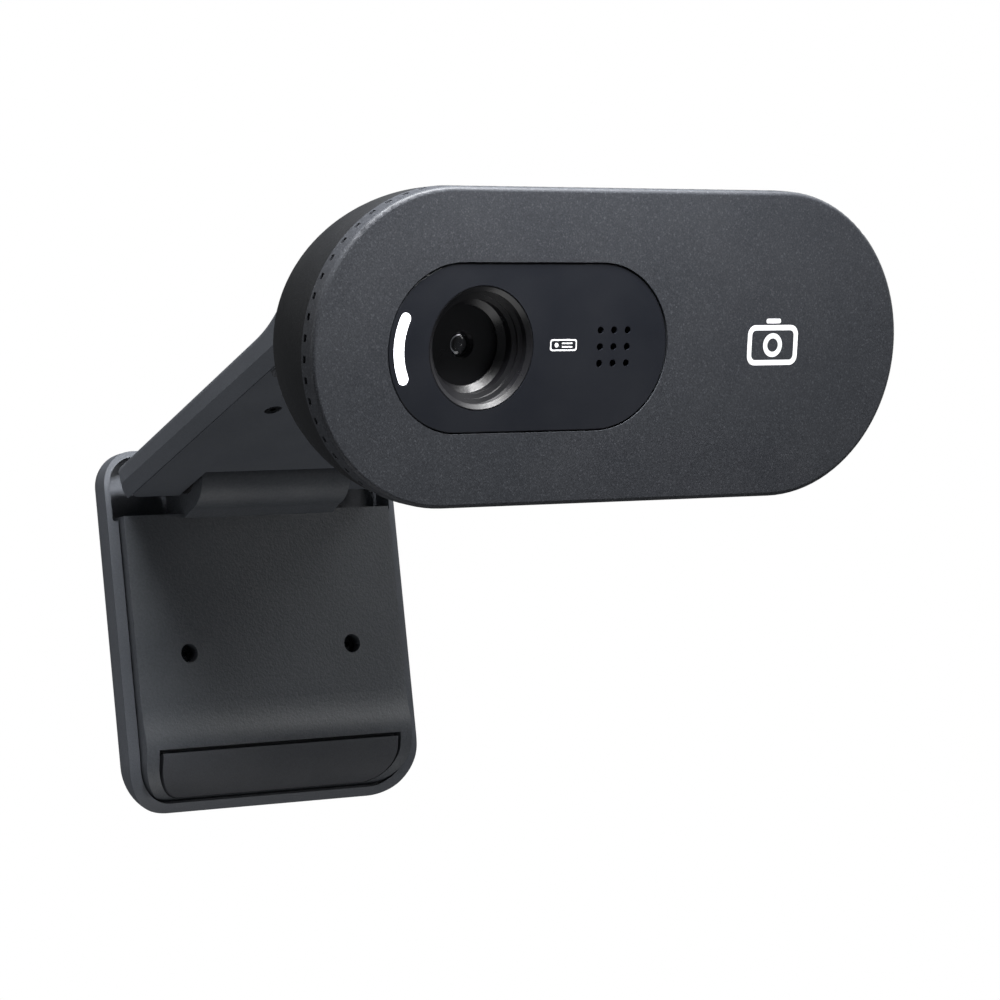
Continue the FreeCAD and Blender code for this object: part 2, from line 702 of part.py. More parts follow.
def main_board():
    body = new_body("main_board", "head")
    outline = rounded(-S.board_width / 2, S.board_width / 2, -S.board_height / 2,
                      S.board_height / 2, S.board_corner, S.board_corner)
    pad(body, "board", "XZ_Plane", [outline], BOARD_FRONT, BOARD_BACK)
    hole = S.screw_shank_radius + S.shank_gap
    holes = [(side * BOARD_SCREW_X, -side * BOARD_SCREW_Z, hole) for side in (1, -1)]
    pocket(body, "screw_holes", "XZ_Plane", holes, BOARD_FRONT, BOARD_BACK)
    return body


def status_light_guide():
    body = new_body("status_light_guide", "head")
    pad(body, "bar", "XZ_Plane", [light_outline(S.seam)], S.inset_sink + S.thread_gap,
        GUIDE_BACK)
    return body


def screw(label, group, role, x, y, seat, reach, side):
    """A pan head with a round drive socket, on a plain shank."""
    body = new_body(label, group)
    head_end = seat + S.screw_head_height * side
    tip = seat - reach * side
    low, high = (seat, head_end) if side > 0 else (head_end, seat)
    pad(body, "head", role, [(x, y, S.screw_head_radius)], low, high)
    low, high = (tip, seat) if side > 0 else (seat, tip)
    pad(body, "shank", role, [(x, y, S.screw_shank_radius)], low, high)
    depth = S.screw_head_height * 0.6
    low, high = (head_end - depth, head_end) if side > 0 else (head_end, head_end + depth)
    pocket(body, "drive", role, [(x, y, S.drive_radius)], low, high)
    return body


def microphone_gasket():
    """A square foam tube that joins the panel's holes to the microphone."""
    body = new_body("microphone_gasket", "head")
    hollow = S.mic_can_size / 2 + S.gasket_gap
    half = hollow + S.gasket_wall
    outlines = [rectangle(S.mic_x - size, S.mic_x + size, -size, size)
                for size in (half, hollow)]
    pad(body, "tube", "XZ_Plane", outlines, PANEL_BACK, BOARD_FRONT)
    return body


def board_post(name, x, z, front):
    body = new_body(f"board_post_{name}", "head")
    rings = [(x, z, S.post_radius), (x, z, S.screw_shank_radius + S.thread_gap)]
    pad(body, "post", "XZ_Plane", rings, front, BOARD_FRONT)
    return body


def cable_gland():
    """A rubber sleeve in the shell's back, where the lead would pass out."""
    body = new_body("cable_gland", "head")
    inside = S.head_depth - S.shell_wall - S.gland_flange
    outside = inside + S.gland_length
    centre = S.gland_x
    neck = GLAND_NECK
    bore = S.gland_bore_radius
    outline = [
        (centre + bore, inside),
        (centre + S.gland_radius, inside),
        (centre + S.gland_radius, BRACKET_BACK),
        (centre + neck, BRACKET_BACK),
        (centre + neck, S.head_depth + S.seam),
        (centre + S.gland_radius, S.head_depth + S.seam),
        (centre + neck, outside),
        (centre + bore, outside),
    ]
    spin(body, "sleeve", "XY_Plane", outline, centre)
    return body


def make_head():
    front_bezel()
    rear_shell()
    tilt_bracket()
    tilt_pin()
    inset_panel()
    lens_surround()
    lens_front_glass()
    lens_barrel()
    disc("lens_rear_glass", "head", S.lens_x, ZERO, S.barrel_radius - S.barrel_wall - S.seam,
         LENS_BACK + BARREL_LENGTH * 0.44, LENS_BACK + BARREL_LENGTH * 0.67)
    lens_holder()
    filter_back = SENSOR_FRONT - S.sensor_gap
    filter_size = S.sensor_size * 0.8
    block("infrared_filter", S.lens_x, ZERO, filter_size, filter_size,
          filter_back - S.filter_thickness, filter_back)
    block("image_sensor", S.lens_x, ZERO, S.sensor_size, S.sensor_size,
          SENSOR_FRONT, BOARD_FRONT)
    main_board()
    block("video_chip", S.chip_x, ZERO, S.chip_size, S.chip_size, BOARD_BACK,
          BOARD_BACK + S.chip_thickness)
    block("lead_connector", S.connector_x, ZERO, S.connector_width, S.connector_height,
          BOARD_BACK, BOARD_BACK + S.connector_depth)
    block("microphone", S.mic_x, ZERO, S.mic_can_size, S.mic_can_size,
          BOARD_FRONT - S.mic_can_height, BOARD_FRONT)
    microphone_gasket()
    status_light_guide()
    led_x = S.inset_x - S.inset_width / 2 + S.light_inset + S.light_width / 2
    led_front = GUIDE_BACK + S.led_gap
    block("status_led", led_x, ZERO, S.led_width, S.led_height, led_front,
          led_front + S.led_depth)
    for side, name in ((1, "right"), (-1, "left")):
        x = side * BOARD_SCREW_X
        z = -side * BOARD_SCREW_Z
        screw(f"board_screw_{name}", "head", "XZ_Plane", x, z, BOARD_BACK,
              S.board_screw_reach, 1)
        board_post(name, x, z, S.bezel_depth if side > 0 else PANEL_BACK)
    cable_gland()


# ---- clip arm --------------------------------------------------------------------------------

ARM_HALF = S.arm_width / 2
ARM_TOP = UNDERSIDE + S.arm_thickness
PANEL_TOP = UNDERSIDE + S.panel_thickness
SEAM_X = ARM_HALF - S.arm_bevel - S.seam
PILOT_END = ARM_TOP - S.pilot_roof
NOTCH_HALF = S.fold_barrel_width / 2 + S.ear_gap
NOTCH_Y = S.fold_axis_y - S.notch_length
ARM_REAR = S.fold_axis_y + S.ear_reach
FOLD_PIN_HALF = ARM_HALF - S.fold_pin_cover


def arm_top_shell():
    body = new_body("arm_top_shell", "arm")
    corner = S.arm_corner
    nose = S.arm_front_round
    over = S.overcut
    plan = [
        (ARM_HALF, S.arm_front_y + nose, ARM_HALF - nose, S.arm_front_y + nose, 1),
        (ARM_HALF, ARM_REAR - corner),
        (ARM_HALF - corner, ARM_REAR, ARM_HALF - corner, ARM_REAR - corner, 1),
        (NOTCH_HALF, ARM_REAR),
        (NOTCH_HALF, NOTCH_Y),
        (-NOTCH_HALF, NOTCH_Y),
        (-NOTCH_HALF, ARM_REAR),
        (-ARM_HALF + corner, ARM_REAR),
        (-ARM_HALF, ARM_REAR - corner, -ARM_HALF + corner, ARM_REAR - corner, 1),
        (-ARM_HALF, S.arm_front_y + nose),
        (-ARM_HALF + nose, S.arm_front_y, -ARM_HALF + nose, S.arm_front_y + nose, 1),
        (ARM_HALF - nose, S.arm_front_y),
    ]
    rise_run = S.arm_rise_start - S.arm_front_y
    rise = S.arm_rise_radius - root(
        S.arm_rise_radius * S.arm_rise_radius - rise_run * rise_run)
    crest = ARM_TOP + S.arm_slope
    ceiling = crest + rise + over
    pad(body, "plan", "XY_Plane", [plan], UNDERSIDE, ceiling)
    above = [
        (ARM_REAR + over, ARM_TOP),
        (ARM_REAR + over, ceiling + over),
        (S.arm_front_y - over, ceiling + over),
        (S.arm_front_y - over, crest + rise),
        (S.arm_front_y, crest + rise),
        (S.arm_rise_start, crest, S.arm_rise_start, crest + S.arm_rise_radius, 1),
    ]
    pocket(body, "top", "YZ_Plane", [above], -ARM_HALF - over, ARM_HALF + over)
    top_faces = UNDERSIDE.value + DRIVING["arm_thickness"] * 0.9

    def outer_top(edge):
        box = edge.BoundBox
        wide = min(abs(box.XMin), abs(box.XMax)) > ARM_HALF.value - corner.value - 0.01
        return box.ZMin > top_faces and wide and box.XLength < corner.value + 0.1

    soften(body, "top_edges", outer_top, S.arm_top_round)
    bevels = [
        [(side * (ARM_HALF - S.arm_bevel), UNDERSIDE),
         (side * (ARM_HALF + over), UNDERSIDE - over),
         (side * (ARM_HALF + over), UNDERSIDE + S.arm_bevel + over)]
        for side in (1, -1)
    ]
    pocket(body, "bevels", "XZ_Plane", bevels, S.arm_front_y - over, ARM_REAR + over)
    seat = rectangle(-SEAM_X, SEAM_X, S.arm_front_y - over, ARM_REAR + over)
    pocket(body, "panel_seat", "XY_Plane", [seat], UNDERSIDE - over, PANEL_TOP)
    hollow_half = SEAM_X - S.arm_hollow_wall
    hollow = rectangle(-hollow_half, hollow_half, S.arm_rise_start, NOTCH_Y - S.arm_rib)
    pocket(body, "hollow", "XY_Plane", [hollow], PANEL_TOP, ARM_TOP - S.arm_hollow_roof)
    bosses = [(side * S.arm_screw_x, S.arm_screw_y, S.arm_boss_radius) for side in (1, -1)]
    pad(body, "bosses", "XY_Plane", bosses, PANEL_TOP, ARM_TOP - S.arm_boss_roof)
    pilot = S.screw_shank_radius + S.thread_gap
    pilots = [(side * S.arm_screw_x, S.arm_screw_y, pilot) for side in (1, -1)]
    pocket(body, "pilots", "XY_Plane", pilots, PANEL_TOP, PILOT_END)
    bore = (S.fold_axis_y, FOLD_AXIS_Z, S.fold_pin_radius)
    pocket(body, "pin_bore", "YZ_Plane", [bore], -FOLD_PIN_HALF, FOLD_PIN_HALF)
    front = S.tilt_axis_y
    neck = [
        (S.arm_front_y, PANEL_TOP + S.seam),
        (S.arm_front_y, crest + rise - S.arm_top_round * 0.5),
        (front, S.tilt_axis_z + S.knuckle_radius),
        (front, S.tilt_axis_z - S.knuckle_radius, front, S.tilt_axis_z, 1),
        (front + S.knuckle_radius, S.tilt_axis_z, front, S.tilt_axis_z, 1),
        (S.arm_front_y - S.lip_thickness - S.slip, PANEL_TOP + S.seam),
    ]
    pad(body, "neck", "YZ_Plane", [neck], -S.neck_width / 2, S.neck_width / 2)
    eye = (front, S.tilt_axis_z, TILT_BORE)
    pocket(body, "tilt_bore", "YZ_Plane", [eye], -S.neck_width, S.neck_width)
    return body


def arm_under_panel():
    body = new_body("arm_under_panel", "arm")
    inner = SEAM_X - S.seam * 2
    front = S.arm_front_y
    rear = ARM_REAR - S.panel_rear_gap
    ear = NOTCH_HALF
    corner = S.panel_corner
    plan = [
        (inner, front),
        (inner, rear - corner),
        (inner - corner, rear, inner - corner, rear - corner, 1),
        (ear, rear),
        (ear, NOTCH_Y),
        (-ear, NOTCH_Y),
        (-ear, rear),
        (-inner + corner, rear),
        (-inner, rear - corner, -inner + corner, rear - corner, 1),
        (-inner, front),
    ]
    pad(body, "plan", "XY_Plane", [plan], UNDERSIDE, PANEL_TOP)
    lip = rectangle(-S.lip_width / 2, S.lip_width / 2, front - S.lip_thickness, front)
    pad(body, "lip", "XY_Plane", [lip], UNDERSIDE - S.lip_length, PANEL_TOP)
    holes = [(side * S.arm_screw_x, S.arm_screw_y, S.screw_hole_radius) for side in (1, -1)]
    pocket(body, "screw_holes", "XY_Plane", holes, UNDERSIDE - S.overcut, PANEL_TOP + S.overcut)
    foot = on_level("z", UNDERSIDE - S.lip_length)
    soften(body, "lip_edges", foot, S.lip_thickness * 0.3)
    return body


def arm_grip_pad():
    """Rubber under the arm that the monitor's top edge bears on."""
    body = new_body("arm_grip_pad", "arm")
    half = S.grip_width / 2
    low = -S.grip_length / 2 + S.grip_front_gap
    high = S.grip_length / 2
    plan = rounded(-half, half, low, high, S.grip_corner, S.grip_corner)
    pad(body, "pad", "XY_Plane", [plan], 0, S.pad_thickness)
    return body


def fold_pin():
    body = new_body("fold_pin", "arm")
    circle = (S.fold_axis_y, FOLD_AXIS_Z, S.fold_pin_radius)
    pad(body, "rod", "YZ_Plane", [circle], -FOLD_PIN_HALF, FOLD_PIN_HALF)
    return body


def make_arm():
    arm_top_shell()
    arm_under_panel()
    arm_grip_pad()
    fold_pin()
    for side, name in ((1, "right"), (-1, "left")):
        screw(f"arm_screw_{name}", "arm", "XY_Plane", side * S.arm_screw_x, S.arm_screw_y,
              PANEL_TOP, PILOT_END - PANEL_TOP - S.shank_gap, -1)
        washer = new_body(f"tilt_washer_{name}", "arm")
        inner = S.neck_width / 2 + S.washer_gap
        outer = inner + S.washer_thickness
        low, high = (inner, outer) if side > 0 else (-outer, -inner)
        ring = [(S.tilt_axis_y, S.tilt_axis_z, S.lug_radius - S.washer_inset),
                (S.tilt_axis_y, S.tilt_axis_z, TILT_BORE)]
        pad(washer, "ring", "YZ_Plane", ring, low, high)


# ---- foot ------------------------------------------------------------------------------------

FOOT_HALF = S.foot_width / 2
EAR_WELL_HALF = ARM_HALF + S.ear_side_gap
FOOT_TOP_HALF = EAR_WELL_HALF + S.foot_rim / 2
FOOT_FLOOR = S.foot_back - S.foot_wall
FOOT_PANEL_HALF = FOOT_HALF - S.foot_rim - S.slip
FOOT_PAD_RECESS_HALF = FOOT_PANEL_HALF - S.foot_pad_side_wall
SCREW_SEAT = S.foot_panel_plane + S.foot_screw_sink
SHELF = SCREW_SEAT + S.foot_shelf


def foot_outline():
    """The tray's outline: the foot's width below, and the arm's ears' width above the panel."""
    low = FOOT_HALF
    high = FOOT_TOP_HALF
    bottom = -S.foot_bottom
    corner_low = S.foot_corner_bottom
    corner_high = S.foot_corner_top
    neck_low = -S.foot_panel_top - S.overcut
    neck_high = -S.foot_panel_top
    return [
        (low - corner_low, bottom),
        (low, bottom + corner_low, low - corner_low, bottom + corner_low, 1),
        (low, neck_low),
        (high, neck_high),
        (high, S.foot_top - corner_high),
        (high - corner_high, S.foot_top, high - corner_high, S.foot_top - corner_high, 1),
        (-high + corner_high, S.foot_top),
        (-high, S.foot_top - corner_high, -high + corner_high, S.foot_top - corner_high, 1),
        (-high, neck_high),
        (-low, neck_low),
        (-low, bottom + corner_low),
        (-low + corner_low, bottom, -low + corner_low, bottom + corner_low, 1),
    ]


def foot_back_shell():
    body = new_body("foot_back_shell", "foot")
    pad(body, "tray", "XZ_Plane", [foot_outline()], S.foot_rim_plane, S.foot_back)
    soften(body, "back_edge", on_level("y", S.foot_back), S.foot_back_round)
    rim = S.foot_rim
    seat = rounded(-FOOT_HALF + rim, FOOT_HALF - rim, -S.foot_bottom + rim,
                   -S.foot_panel_top + S.seat_lap, S.foot_corner_bottom - rim, S.well_corner)
    pocket(body, "panel_seat", "XZ_Plane", [seat], S.foot_rim_plane, FOOT_FLOOR)
    wall = S.foot_rim / 2
    well = rounded(-EAR_WELL_HALF, EAR_WELL_HALF, -S.foot_panel_top - S.well_lap,
                   S.foot_top - wall, S.well_corner, S.foot_corner_top - wall)
    pocket(body, "ear_well", "XZ_Plane", [well], S.foot_rim_plane, FOOT_FLOOR)
    barrel = (ZERO, ZERO, S.fold_barrel_radius + S.slip)
    pocket(body, "barrel_relief", "YZ_Plane", [barrel], -S.fold_barrel_width / 2 - S.slip,
           S.fold_barrel_width / 2 + S.slip)
    drop = S.foot_bottom - S.rim_nose_start
    back = S.rim_nose_radius - root(S.rim_nose_radius * S.rim_nose_radius - drop * drop)
    over = S.overcut
    nose = [
        (S.foot_rim_plane - over, -S.rim_nose_start),
        (S.foot_rim_plane - over, -S.foot_bottom - over),
        (S.foot_rim_plane + back, -S.foot_bottom - over),
        (S.foot_rim_plane + back, -S.foot_bottom),
        (S.foot_rim_plane, -S.rim_nose_start, S.foot_rim_plane + S.rim_nose_radius,
         -S.rim_nose_start, -1),
    ]
    pocket(body, "nose", "YZ_Plane", [nose], -FOOT_HALF - over, FOOT_HALF + over)
    bosses = [(side * S.foot_hole_x, -S.foot_hole_drop, S.foot_boss_radius)
              for side in (1, -1)]
    pad(body, "bosses", "XZ_Plane", bosses, SHELF, FOOT_FLOOR)
    pilot = S.screw_shank_radius + S.thread_gap
    pilots = [(side * S.foot_hole_x, -S.foot_hole_drop, pilot) for side in (1, -1)]
    pocket(body, "pilots", "XZ_Plane", pilots, SHELF, FOOT_FLOOR + S.foot_pilot)
    return body


def panel_front():
    """Where the panel's hump ends and where the centre of its rounded nose lies."""
    turn_cos = cosine(S.hump_turn)
    turn_sin = sine(S.hump_turn)
    plane = S.foot_panel_plane
    hump_y = plane - S.hump_radius * (1 - turn_cos)
    hump_z = -S.hump_start - S.hump_radius * turn_sin
    nose_y = hump_y + S.panel_nose_radius * turn_cos
    nose_z = hump_z - S.panel_nose_radius * turn_sin
    return hump_y, hump_z, nose_y, nose_z


def foot_inner_panel():
    body = new_body("foot_inner_panel", "foot")
    plane = S.foot_panel_plane
    floor = FOOT_FLOOR - S.seam
    hump_y, hump_z, nose_y, nose_z = panel_front()
    nose = S.panel_nose_radius
    nose_drop = root(nose * nose - (nose_y - floor) * (nose_y - floor))
    side = [
        (floor, -S.foot_panel_top),
        (plane, -S.foot_panel_top),
        (plane, -S.hump_start),
        (hump_y, hump_z, plane - S.hump_radius, -S.hump_start, -1),
        (floor, nose_z - nose_drop, nose_y, nose_z, 1),
    ]
    pad(body, "side", "YZ_Plane", [side], -FOOT_PANEL_HALF, FOOT_PANEL_HALF)
    half = FOOT_PANEL_HALF
    corners = low_corners(half, nose_z - nose_drop,
                          S.foot_corner_bottom - S.foot_rim - S.slip)
    over = S.overcut
    pocket(body, "bottom_corners", "XZ_Plane", corners, plane - over * 2, floor + over)
    wall = S.foot_panel_wall
    hollow = rectangle(-half + wall, half - wall, -S.hump_start, -S.foot_panel_top - wall)
    pocket(body, "hollow", "XZ_Plane", [hollow], plane + wall, floor + over)

    def pair_of_holes(radius):
        return [(s * S.foot_hole_x, -S.foot_hole_drop, radius) for s in (1, -1)]

    columns = pair_of_holes(S.foot_hole_radius + S.foot_column_wall)
    pad(body, "columns", "XZ_Plane", columns, plane + wall, SHELF - S.seam)
    pocket(body, "screw_wells", "XZ_Plane", pair_of_holes(S.foot_hole_radius),
           plane - over, SCREW_SEAT)
    shanks = pair_of_holes(S.screw_shank_radius + S.shank_gap)
    pocket(body, "shank_holes", "XZ_Plane", shanks, SCREW_SEAT, SHELF + S.seam)
    radius = S.fold_barrel_radius
    web = [
        (plane, -S.foot_panel_top - S.web_lap),
        (floor, -S.foot_panel_top - S.web_lap),
        (floor, ZERO),
        (ZERO, ZERO),
        (-radius * 0.6, -radius * 0.8),
    ]
    half_barrel = S.fold_barrel_width / 2
    pad(body, "barrel", "YZ_Plane", [(ZERO, ZERO, radius)], -half_barrel, half_barrel)
    pad(body, "web", "YZ_Plane", [web], -half_barrel, half_barrel)
    pocket(body, "pin_bore", "YZ_Plane", [(ZERO, ZERO, FOLD_BORE)],
           -half_barrel - over, half_barrel + over)
    seat_start = half_barrel - S.bush_length - S.seam
    seat_end = half_barrel + over
    seat_circle = (ZERO, ZERO, S.bush_radius + S.pin_clearance)
    pocket(body, "bush_seat_right", "YZ_Plane", [seat_circle], seat_start, seat_end)
    pocket(body, "bush_seat_left", "YZ_Plane", [seat_circle], -seat_end, -seat_start)
    tool = pad_recess_form(hump_y, nose_y, nose_z)
    cut = body.newObject("PartDesign::Boolean", "foot_inner_panel_pad_recess")
    before = body.Shape.Volume
    cut.setObjects([tool])
    cut.Type = "Cut"
    doc.recompute()
    if body.Shape.Volume > before - 1.0:
        raise RuntimeError("the pad recess removed nothing")
    return body


def nose_level(nose_y, nose_z, radius, z):
    """How far back an arc about the nose's centre lies at a height."""
    return nose_y - root(radius * radius - (z - nose_z) * (z - nose_z))


def pad_seat(nose_y, nose_z):
    """The flat back of the pad's recess, where its arc ends, and its lower end."""
    back = FOOT_FLOOR - S.seam - S.foot_pad_seat
    reach = nose_y - back
    seat = S.panel_nose_radius - S.foot_pad_sink
    bend = nose_z - root(seat * seat - reach * reach)
    bottom = nose_z - root(S.panel_nose_radius * S.panel_nose_radius - reach * reach)
    return back, bend, bottom


def low_corners(half, bottom, radius):
    """What lies outside the two rounded lower corners of a strip."""
    over = S.overcut
    outlines = []
    for side in (1, -1):
        edge = side * half
        outlines.append([
            (side * (half + over), bottom + radius),
            (side * (half + over), bottom - over),
            (side * (half - radius), bottom - over),
            (side * (half - radius), bottom),
            (edge, bottom + radius, side * (half - radius), bottom + radius, side),
        ])
    return outlines


def pad_recess_form(hump_y, nose_y, nose_z):
    """The space cut out of the panel for the rubber pad."""
    tool = doc.addObject("PartDesign::Body", "pad_recess_form")
    tool.Label = "pad_recess_form"
    half = FOOT_PAD_RECESS_HALF
    front = hump_y - S.overcut * 2
    top = -S.foot_pad_top + S.foot_pad_gap
    back, bend, bottom = pad_seat(nose_y, nose_z)
    seat = S.panel_nose_radius - S.foot_pad_sink
    side = [
        (front, top),
        (front, bottom),
        (back, bottom),
        (back, bend),
        (nose_level(nose_y, nose_z, seat, top), top, nose_y, nose_z, -1),
    ]
    pad(tool, "side", "YZ_Plane", [side], -half, half)
    corners = low_corners(half, bottom, S.foot_pad_corner + S.foot_pad_gap)
    pocket(tool, "corners", "XZ_Plane", corners, front - S.overcut, back + S.overcut)
    return tool


def foot_pad():
    """Rubber that bears on the monitor's back."""
    body = new_body("foot_pad", "foot")
    nose_y, nose_z = panel_front()[2:]
    back, _, bottom = pad_seat(nose_y, nose_z)
    outer = S.panel_nose_radius + S.foot_pad_proud
    inner = S.panel_nose_radius - S.foot_pad_sink + S.seam
    top = -S.foot_pad_top
    low = bottom + S.seam * 2
    reach = nose_y - back + S.seam
    side = [
        (nose_level(nose_y, nose_z, outer, low), low, nose_y, nose_z, 1),
        (back - S.seam, low),
        (back - S.seam, nose_z - root(inner * inner - reach * reach)),
        (nose_level(nose_y, nose_z, inner, top), top, nose_y, nose_z, -1),
        (nose_level(nose_y, nose_z, outer, top), top),
    ]
    half = FOOT_PAD_RECESS_HALF - S.foot_pad_gap
    pad(body, "strip", "YZ_Plane", [side], -half, half)
    corners = low_corners(half, low, S.foot_pad_corner)
    pocket(body, "corners", "XZ_Plane", corners, nose_y - outer - S.overcut,
           back + S.overcut)
    return body


def make_foot():
    foot_back_shell()
    foot_inner_panel()
    foot_pad()
    for side, name in ((1, "right"), (-1, "left")):
        screw(f"foot_screw_{name}", "foot", "XZ_Plane", side * S.foot_hole_x,
              -S.foot_hole_drop, SCREW_SEAT, S.foot_screw_reach, -1)
        bush = new_body(f"fold_bush_{name}", "foot")
        inner = S.fold_barrel_width / 2 - S.bush_length
        outer = S.fold_barrel_width / 2 + S.bush_proud
        low, high = (inner, outer) if side > 0 else (-outer, -inner)
        ring = [(ZERO, ZERO, S.bush_radius), (ZERO, ZERO, FOLD_BORE)]
        pad(bush, "ring", "YZ_Plane", ring, low, high)


# ---- build, test and write -------------------------------------------------------------------

make_head()
make_arm()
make_foot()
doc.recompute()
for item in doc.Objects:
    if {"Invalid", "Error"} & set(item.State):
        raise RuntimeError(f"{item.Label} did not recompute: {item.State}")
for body in NODES:
    shape = body.Shape
    if shape.isNull() or not shape.isValid() or shape.Volume <= 0:
        raise RuntimeError(f"{body.Label} has no valid solid")
    shape.exportStep(os.path.join("parts", f"{body.Label}.step"))
    print(f"{body.Label}: {len(shape.Solids)} solid(s), {shape.Volume:.1f} mm3")
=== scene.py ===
import math

import bpy
import numpy as np
from mathutils import Euler, Matrix, Vector


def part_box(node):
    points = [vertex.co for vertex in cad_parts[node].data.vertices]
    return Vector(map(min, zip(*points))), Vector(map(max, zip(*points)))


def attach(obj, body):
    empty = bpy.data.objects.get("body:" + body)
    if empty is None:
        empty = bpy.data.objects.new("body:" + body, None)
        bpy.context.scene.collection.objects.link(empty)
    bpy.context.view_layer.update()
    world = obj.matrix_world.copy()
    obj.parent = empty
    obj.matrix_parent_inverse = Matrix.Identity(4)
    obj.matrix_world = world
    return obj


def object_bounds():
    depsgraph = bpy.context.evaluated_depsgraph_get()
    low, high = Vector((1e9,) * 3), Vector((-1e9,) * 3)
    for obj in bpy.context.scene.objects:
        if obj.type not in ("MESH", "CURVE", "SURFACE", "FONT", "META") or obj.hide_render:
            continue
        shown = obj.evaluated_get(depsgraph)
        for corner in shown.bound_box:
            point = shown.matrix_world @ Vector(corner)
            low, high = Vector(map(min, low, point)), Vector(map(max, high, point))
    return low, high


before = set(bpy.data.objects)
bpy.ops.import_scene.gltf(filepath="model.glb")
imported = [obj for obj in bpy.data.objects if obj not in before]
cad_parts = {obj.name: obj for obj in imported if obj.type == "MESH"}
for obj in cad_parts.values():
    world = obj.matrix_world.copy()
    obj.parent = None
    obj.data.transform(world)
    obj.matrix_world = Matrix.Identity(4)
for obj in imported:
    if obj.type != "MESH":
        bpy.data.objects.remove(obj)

CAD_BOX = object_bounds()
MM = 0.001

# Camera: where it stands and how it is turned, in the row frame.
CAMERA_PLACE = (-0.23427, -0.32719, -0.14838)
CAMERA_TURN_DEG = (108.5284, 14.19543, -31.53785)
CAMERA_LENS_MM = 141.3
CAMERA_SENSOR_MM = 36.0
CAMERA_NEAR = 0.01
CAMERA_FAR = 20.0

# Studio, in metres and watts: the floor lies FLOOR_DROP below the object.
FLOOR_DROP = 0.55
FLOOR_HALF = 3.0
FLOOR_GLOW = 0.78
AMBIENT = 0.1
AMBIENT_TINT = (0.93, 0.96, 1.0, 1.0)
# Each soft light: its name, place, size and power.
SOFT_LIGHTS = (
    ("strip_above_face", (-0.01, -0.095, 0.05), (0.06, 0.03), 0.64),
    ("upper_right", (0.35, -0.15, 0.35), (0.3, 0.3), 1.4),
    ("upper_left", (-0.4, 0.05, 0.35), (0.3, 0.3), 1.0),
    ("upper_front", (0.3, -0.42, 0.3), (0.2, 0.2), 0.88),
    ("right", (0.5, 0.0, 0.1), (0.35, 0.35), 1.2),
    ("left", (-0.5, 0.0, 0.0), (0.35, 0.35), 0.76),
    ("front_right", (0.34, -0.48, 0.02), (0.15, 0.12), 0.13),
    ("below", (0.0, 0.0, -0.5), (0.4, 0.4), 0.89),
)

# A flat front has a normal whose Y is below FORWARD. Flats within one LEVEL_STEP count as one.
FORWARD = -0.5
LEVEL_STEP = 0.1 * MM

# Printed marks on the face and the panel, in the face's own plane: the camera sign with its eye
# and hump, and the panel's small tag with a dot and two bars.
MARK_HEIGHT = 0.02 * MM
ICON_CENTRE_X = 19.8 * MM
ICON_CENTRE_Z = 0.0 * MM
ICON_WIDTH = 6.6 * MM
ICON_TALL = 4.2 * MM
ICON_LINE = 0.56 * MM
ICON_CORNER = 1.0 * MM
ICON_INNER_CORNER = 0.5 * MM
EYE_OUTER = 1.25 * MM
EYE_INNER = 0.7 * MM
HUMP_WIDTH = 1.9 * MM
HUMP_TALL = 0.5 * MM
HUMP_CORNER = 0.2 * MM
HUMP_LIFT = 0.42 * MM
TAG_X = 4.0 * MM
TAG_WIDTH = 3.3 * MM
TAG_TALL = 1.2 * MM
TAG_LINE = 0.16 * MM
TAG_CORNER = 0.3 * MM
TAG_INNER_CORNER = 0.2 * MM
DOT_RADIUS = 0.24 * MM
DOT_X = -0.85 * MM
BAR_WIDTH = 1.3 * MM
BAR_TALL = 0.16 * MM
BAR_CORNER = 0.07 * MM
BAR_X = 0.45 * MM
BAR_Z = 0.18 * MM

# Moulded plastic: how far its colour drifts, the size of its duller patches, and how much of its
# tone the fine grain gives. The light dust lies in patches of its own.
DRIFT_SIZE = 14 * MM
PATCH_SIZE = 6 * MM
GRAIN_SHARE = 0.75
DUST_SIZE = 9 * MM
DUST_TONE = (150, 150, 152)

# Soft noise seldom leaves this part of its range, so tones and roughness are spread over it.
MIDDLE = (0.3, 0.7)


# --- materials --------------------------------------------------------------------------------


def srgb(red, green, blue):
    """A colour given as 0 to 255 display values, as the linear colour a shader takes."""
    linear = []
    for level in (red, green, blue):
        share = level / 255.0
        if share <= 0.04045:
            linear.append(share / 12.92)
        else:
            linear.append(((share + 0.055) / 1.055) ** 2.4)
    return (*linear, 1.0)


